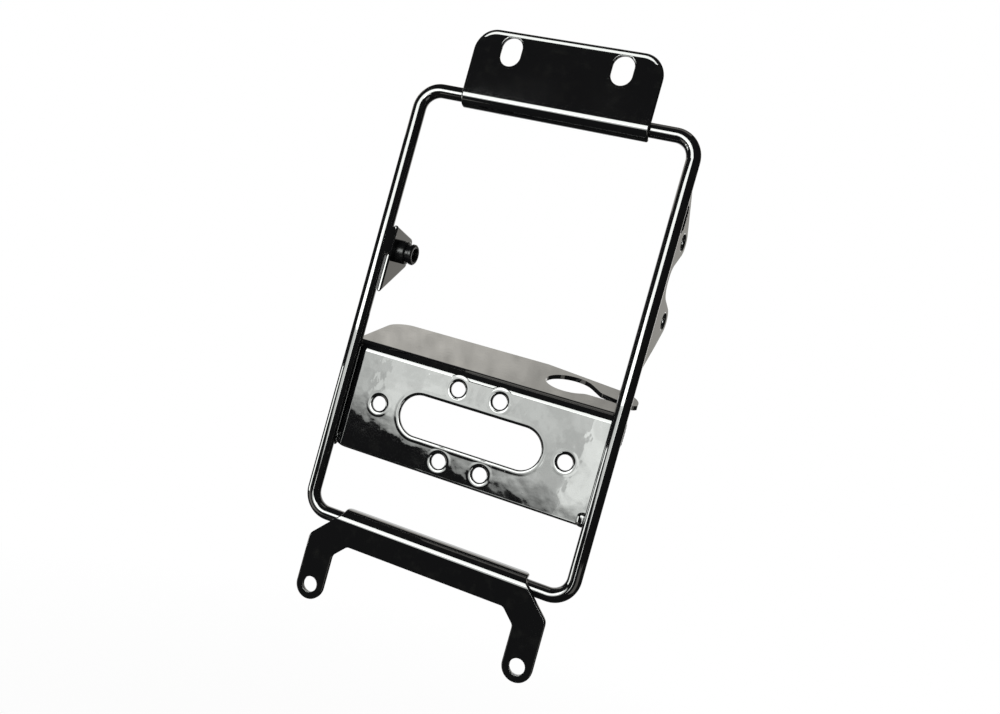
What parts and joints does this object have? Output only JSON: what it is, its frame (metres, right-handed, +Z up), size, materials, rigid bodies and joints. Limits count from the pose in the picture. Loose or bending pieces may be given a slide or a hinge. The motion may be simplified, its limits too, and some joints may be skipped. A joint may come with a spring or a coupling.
{
  "type": "headlight mounting bracket",
  "caption": "Welded bar-loop headlight bracket with a slotted upper tab, a drilled cross plate folded into a cable shelf, a lower yoke with bolt legs, and side ears for the lamp.",
  "frame": {"origin": "midway between the two leg holes, on the rear face of the lower yoke", "axes": "+X to the bracket's right seen from the front, +Y to its back along the leg bolts, +Z up along the side bars"},
  "size_m": [0.1267, 0.047, 0.2531],
  "materials": {
    "black_paint": "gloss black paint with a faint orange-peel ripple",
    "weld_paint": "gloss black paint over rippled weld beads"
  },
  "bodies": {
    "root": {"rod_loop": "black_paint", "upper_tab": "black_paint", "lower_yoke": "black_paint", "cross_plate": "black_paint", "left_ear": "black_paint", "left_boss": "black_paint", "right_ear": "black_paint", "weld_left_ear": "weld_paint", "weld_right_ear": "weld_paint", "weld_upper_tab": "weld_paint", "weld_lower_yoke": "weld_paint", "weld_cross_plate": "weld_paint"}
  },
  "joints": []
}
